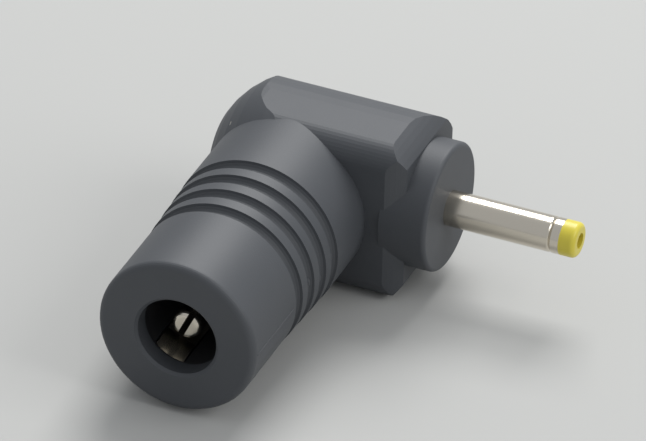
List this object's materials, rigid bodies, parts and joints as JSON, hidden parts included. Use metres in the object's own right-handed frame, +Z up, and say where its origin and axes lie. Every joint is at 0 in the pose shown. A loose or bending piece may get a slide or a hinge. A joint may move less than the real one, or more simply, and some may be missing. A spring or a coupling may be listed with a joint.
{
  "type": "dc barrel plug",
  "caption": "Right-angle DC power adapter with a 5.5 x 2.1 mm socket and a 2.5 x 0.7 mm barrel plug.",
  "frame": {"origin": "centre of the plug's shoulder, on the end face of the collar", "axes": "+X out along the plug, the socket opens towards -Y, +Z up from the flat underside"},
  "size_m": [0.0261, 0.0274, 0.012],
  "materials": {
    "black_pvc": "soft moulded PVC, matte",
    "inner_plastic": "natural polyethylene",
    "insert_plastic": "black nylon",
    "plated_metal": "nickel plated brass",
    "yellow_plastic": "yellow moulded plastic",
    "contact_brass": "spring brass",
    "copper": "bare copper strand",
    "red_pvc": "PVC insulation",
    "solder": "tin solder"
  },
  "bodies": {
    "root": {"overmould_body": "black_pvc", "inner_mould": "inner_plastic", "jack_insert": "insert_plastic", "centre_pin": "plated_metal", "leaf_spring": "plated_metal", "plug_barrel": "plated_metal", "tip_insulator": "yellow_plastic", "centre_contact": "contact_brass", "barrel_tag": "plated_metal", "rear_bush": "insert_plastic", "positive_conductor": "copper", "positive_insulation": "red_pvc", "negative_conductor": "copper", "negative_insulation": "black_pvc", "solder_joints": "solder"}
  },
  "joints": []
}
